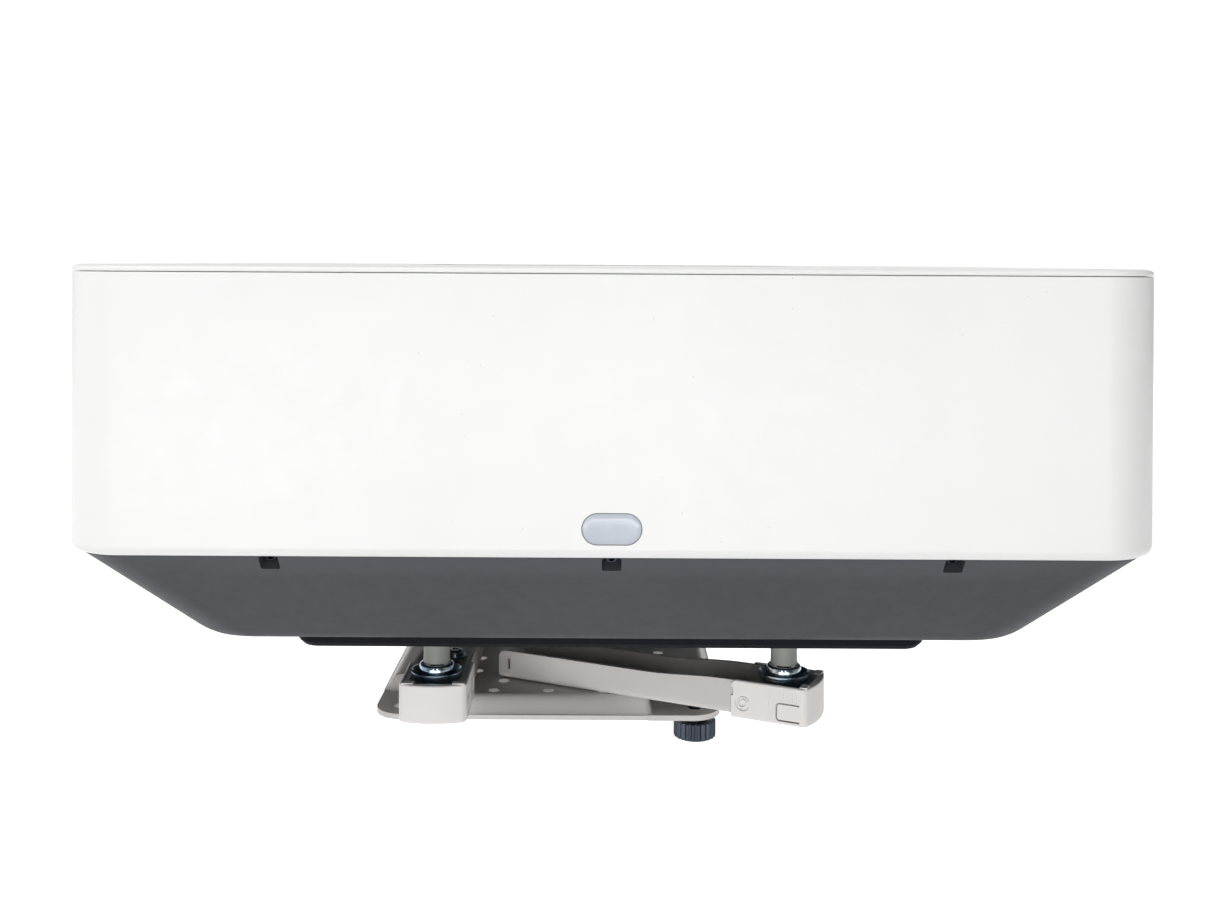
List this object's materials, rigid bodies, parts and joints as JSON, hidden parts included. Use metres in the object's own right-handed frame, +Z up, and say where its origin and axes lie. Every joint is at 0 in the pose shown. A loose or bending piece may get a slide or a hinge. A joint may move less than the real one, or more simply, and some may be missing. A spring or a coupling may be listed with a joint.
{
  "type": "ultra short throw home projector with ceiling mount adapter",
  "caption": "White box-shaped home projector with a tapered dark base, a lens well in its lid and a four-armed ceiling adapter bolted beneath.",
  "frame": {"origin": "centre of the adapter plate's flat under-face, where the ceiling bracket bears", "axes": "+Z up from the plate into the projector, -Y out of the plain front face, +X to the viewer's right"},
  "size_m": [0.4408, 0.3504, 0.2214],
  "materials": {
    "shell_white": "fine satin texture",
    "pan_charcoal": "fine moulded grain",
    "cover_black": "fine matt grain",
    "sensor_window": "smoked translucent, polished",
    "screw_steel": "black zinc",
    "filter_fleece": "pleated fleece",
    "fan_black": "moulded, semi-matt",
    "socket_metal": "plated",
    "board_green": "solder mask",
    "supply_metal": "folded sheet",
    "well_black": "anti-glare matt",
    "shutter_dark": "satin",
    "lens_glass": "coated",
    "cell_glass": "coated lens in a black cell",
    "mirror_silver": "front-silvered",
    "cast_aluminium": "die-cast",
    "phosphor_disc": "phosphor coat",
    "speaker_black": "moulded",
    "mount_powder": "white powder coat",
    "cap_white": "moulded",
    "post_grey": "satin grey",
    "nut_zinc": "blue zinc plated, bright"
  },
  "bodies": {
    "root": {"upper_shell": "shell_white", "top_lid": "shell_white", "base_pan": "pan_charcoal", "exhaust_grille": "pan_charcoal", "bottom_cover": "cover_black", "rear_panel": "cover_black", "audio_socket": "cover_black", "mains_inlet": "cover_black", "remote_window": "sensor_window", "seam_screw_left": "screw_steel", "seam_screw_centre": "screw_steel", "seam_screw_right": "screw_steel", "air_filter": "filter_fleece", "intake_fan_frame": "fan_black", "exhaust_fan_frame": "fan_black", "video_socket_1": "socket_metal", "video_socket_2": "socket_metal", "data_socket": "socket_metal", "main_board": "board_green", "key_board": "board_green", "power_supply": "supply_metal", "lens_well": "well_black", "mirror_frame": "well_black", "lens_barrel": "well_black", "wheel_motor": "well_black", "lens_window": "lens_glass", "curved_mirror": "mirror_silver", "optics_base": "cast_aluminium", "engine_housing": "cast_aluminium", "laser_module": "cast_aluminium", "heat_sink": "cast_aluminium", "speaker_left": "speaker_black", "speaker_right": "speaker_black", "adapter_plate": "mount_powder", "arm_front_left": "mount_powder", "arm_front_right": "mount_powder", "arm_rear_left": "mount_powder", "arm_rear_right": "mount_powder", "arm_cap_front_left": "cap_white", "arm_cap_front_right": "cap_white", "arm_cap_rear_left": "cap_white", "arm_cap_rear_right": "cap_white", "post_front_left": "post_grey", "post_front_right": "post_grey", "post_rear_left": "post_grey", "post_rear_right": "post_grey", "flange_nut_front_left": "nut_zinc", "flange_nut_front_right": "nut_zinc", "flange_nut_rear_left": "nut_zinc", "flange_nut_rear_right": "nut_zinc"},
    "shutter": {"lens_shutter": "shutter_dark"},
    "focus": {"focus_ring": "well_black"},
    "front_cell": {"lens_front_cell": "cell_glass"},
    "wheel": {"phosphor_wheel": "phosphor_disc"},
    "intake_rotor": {"intake_fan_rotor": "fan_black"},
    "exhaust_rotor": {"exhaust_fan_rotor": "fan_black"},
    "door": {"filter_door": "shell_white"},
    "power_key": {"power_button": "pan_charcoal"},
    "source_key": {"source_button": "pan_charcoal"},
    "plate_screw": {"thumbscrew": "screw_steel"}
  },
  "joints": [
    {"name": "shutter_slide", "type": "slide", "parent": "root", "child": "shutter", "axis": [0, 1, 0], "range_m": [0, 0.096]},
    {"name": "focus_turn", "type": "hinge", "parent": "root", "child": "focus", "pos_m": [0.029, 0.075, 0.138], "axis": [0, -1, 0], "range_deg": [-21, 21]},
    {"name": "cell_focus", "type": "slide", "parent": "root", "child": "front_cell", "axis": [0, -1, 0], "range_m": [-0.0025, 0.0025]},
    {"name": "wheel_spin", "type": "hinge", "parent": "root", "child": "wheel", "pos_m": [-0.054, 0.1, 0.138], "axis": [1, 0, 0], "continuous": true},
    {"name": "intake_spin", "type": "hinge", "parent": "root", "child": "intake_rotor", "pos_m": [-0.151, 0, 0.145], "axis": [-1, 0, 0], "continuous": true},
    {"name": "exhaust_spin", "type": "hinge", "parent": "root", "child": "exhaust_rotor", "pos_m": [0.219, -0.01, 0.145], "axis": [1, 0, 0], "continuous": true},
    {"name": "filter_door_hinge", "type": "hinge", "parent": "root", "child": "door", "pos_m": [-0.191, 0, 0.112], "axis": [0, -1, 0], "range_deg": [0, 95]},
    {"name": "power_press", "type": "slide", "parent": "root", "child": "power_key", "axis": [-1, 0, 0], "range_m": [0, 0.001], "stiffness_N_per_m": 600},
    {"name": "source_press", "type": "slide", "parent": "root", "child": "source_key", "axis": [-1, 0, 0], "range_m": [0, 0.001], "stiffness_N_per_m": 600},
    {"name": "thumbscrew_turn", "type": "hinge", "parent": "root", "child": "plate_screw", "pos_m": [0.069, -0.069, -0.012], "axis": [0, 0, 1], "continuous": true}
  ],
  "couplings": [
    {"joint": "focus_turn", "follows": "cell_focus", "rad_per_m": 139.6}
  ]
}
